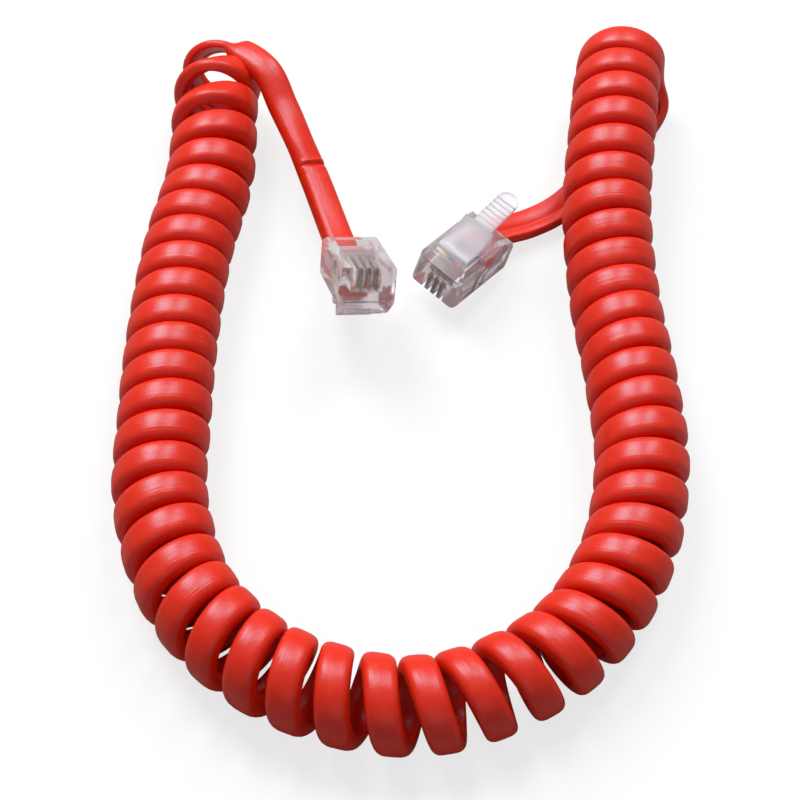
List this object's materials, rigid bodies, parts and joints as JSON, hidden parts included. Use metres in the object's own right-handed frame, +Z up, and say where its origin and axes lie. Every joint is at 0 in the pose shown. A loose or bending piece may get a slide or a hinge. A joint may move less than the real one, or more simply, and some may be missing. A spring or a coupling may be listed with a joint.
{
  "type": "coiled handset cord",
  "caption": "Coiled telephone handset cord lying in a U, with a short free lead and a clear modular plug with a sprung latch at each end.",
  "frame": {"origin": "middle of the bottom of the cord's bounding box, on the surface it lies on", "axes": "+Z up, +Y along the two arms of the U towards their open end, +X to the right when looking along +Y"},
  "size_m": [0.0734, 0.1078, 0.0162],
  "materials": {
    "jacket": "satin red PVC, lit softly",
    "clear_plastic": "clear polycarbonate, polished",
    "contacts": "gold-plated phosphor bronze, bright",
    "wire_yellow": "satin",
    "wire_green": "satin",
    "wire_red": "satin",
    "wire_black": "satin"
  },
  "bodies": {
    "cord": {"cord_coil": "jacket", "lead_a": "jacket", "lead_b": "jacket", "plug_a_body": "clear_plastic", "plug_a_clamp_bar": "clear_plastic", "plug_a_wire_bar": "clear_plastic", "plug_a_contact_1": "contacts", "plug_a_contact_2": "contacts", "plug_a_contact_3": "contacts", "plug_a_contact_4": "contacts", "plug_a_wire_yellow": "wire_yellow", "plug_a_wire_green": "wire_green", "plug_a_wire_red": "wire_red", "plug_a_wire_black": "wire_black", "plug_b_body": "clear_plastic", "plug_b_clamp_bar": "clear_plastic", "plug_b_wire_bar": "clear_plastic", "plug_b_contact_1": "contacts", "plug_b_contact_2": "contacts", "plug_b_contact_3": "contacts", "plug_b_contact_4": "contacts", "plug_b_wire_yellow": "wire_yellow", "plug_b_wire_green": "wire_green", "plug_b_wire_red": "wire_red", "plug_b_wire_black": "wire_black"},
    "latch_a": {"plug_a_latch": "clear_plastic"},
    "latch_b": {"plug_b_latch": "clear_plastic"}
  },
  "joints": [
    {"name": "latch_a_press", "type": "hinge", "parent": "cord", "child": "latch_a", "pos_m": [-0.00551, 0.00666, 0.00912], "axis": [0.9688, 0.1555, -0.1928], "range_deg": [0, 9], "stiffness_Nm_per_rad": 0.1},
    {"name": "latch_b_press", "type": "hinge", "parent": "cord", "child": "latch_b", "pos_m": [0.00628, 0.01585, 0.00891], "axis": [-0.7499, 0.6475, 0.1356], "range_deg": [0, 9], "stiffness_Nm_per_rad": 0.1}
  ]
}
